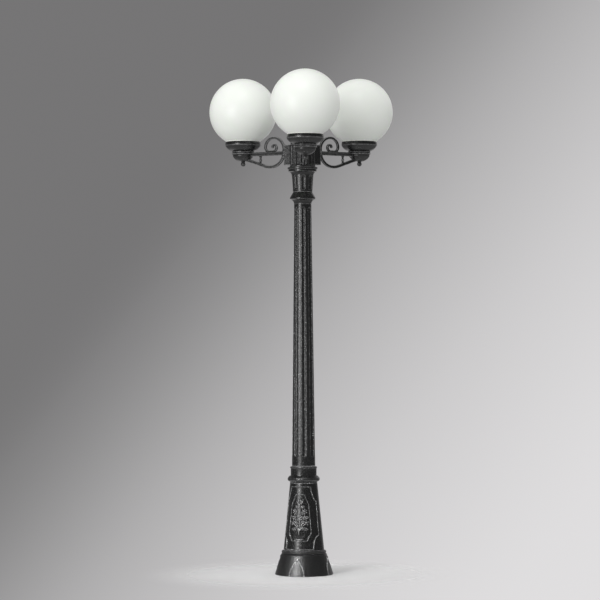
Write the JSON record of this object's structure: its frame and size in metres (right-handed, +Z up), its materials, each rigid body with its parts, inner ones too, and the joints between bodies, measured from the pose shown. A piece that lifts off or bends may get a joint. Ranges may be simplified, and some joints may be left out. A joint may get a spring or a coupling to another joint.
{
  "type": "outdoor post light",
  "caption": "Free-standing garden post light with a fluted tapered pole on a panelled pedestal, and scrolled arms round a hub that carry upright opal globes.",
  "frame": {"origin": "on the post's axis at ground level, at the centre of the anchor bolt circle", "axes": "+Z up along the post, -Y towards the front arm, +X to the right seen from the front"},
  "size_m": [0.8196, 0.75, 2.196],
  "materials": {
    "black_casting": "satin",
    "black_screw": "satin",
    "zinc_steel": "satin",
    "brass": "satin",
    "black_rubber": "matte",
    "white_silicone": "satin",
    "opal_acrylic": "gloss",
    "terminal_plastic": "satin",
    "lampholder_ceramic": "satin",
    "bulb_glass": "gloss"
  },
  "bodies": {
    "post": {"foot": "black_casting", "anchor_covers": "black_casting", "cover_screws": "black_screw", "pedestal": "black_casting", "pedestal_bolts": "zinc_steel", "pedestal_nuts": "zinc_steel", "pole_collar": "black_casting", "pole": "black_casting", "pole_washer": "zinc_steel", "pole_locknut": "zinc_steel", "neck_ring": "black_casting", "capital": "black_casting", "capital_screws": "black_screw"},
    "head": {"hub": "black_casting", "swivel_screws": "black_screw", "arm_screws": "black_screw", "hub_lid": "black_casting", "lid_gasket": "black_rubber", "lid_strap": "zinc_steel", "lid_knob": "black_casting", "terminal_block": "terminal_plastic", "stem_nuts": "brass", "ring_screws": "zinc_steel", "arm_1": "black_casting", "arm_2": "black_casting", "arm_3": "black_casting", "holder_1": "black_casting", "holder_2": "black_casting", "holder_3": "black_casting", "finial_1": "black_casting", "finial_2": "black_casting", "finial_3": "black_casting", "bayonet_ring_1": "zinc_steel", "bayonet_ring_2": "zinc_steel", "bayonet_ring_3": "zinc_steel", "globe_gasket_1": "white_silicone", "globe_gasket_2": "white_silicone", "globe_gasket_3": "white_silicone", "lampholder_1": "lampholder_ceramic", "lampholder_2": "lampholder_ceramic", "lampholder_3": "lampholder_ceramic", "bulb_cap_1": "brass", "bulb_cap_2": "brass", "bulb_cap_3": "brass", "bulb_1": "bulb_glass", "bulb_2": "bulb_glass", "bulb_3": "bulb_glass"},
    "globe_1": {"globe_1": "opal_acrylic"},
    "globe_2": {"globe_2": "opal_acrylic"},
    "globe_3": {"globe_3": "opal_acrylic"}
  },
  "joints": [
    {"name": "head_swivel", "type": "hinge", "parent": "post", "child": "head", "pos_m": [0, 0, 1.791], "axis": [0, 0, 1], "range_deg": [-180, 180]},
    {"name": "globe_1_twist", "type": "hinge", "parent": "head", "child": "globe_1", "pos_m": [0, -0.3, 1.895], "axis": [0, 0, 1], "range_deg": [0, 40]},
    {"name": "globe_2_twist", "type": "hinge", "parent": "head", "child": "globe_2", "pos_m": [0.25981, 0.15, 1.895], "axis": [0, 0, 1], "range_deg": [0, 40]},
    {"name": "globe_3_twist", "type": "hinge", "parent": "head", "child": "globe_3", "pos_m": [-0.25981, 0.15, 1.895], "axis": [0, 0, 1], "range_deg": [0, 40]}
  ]
}
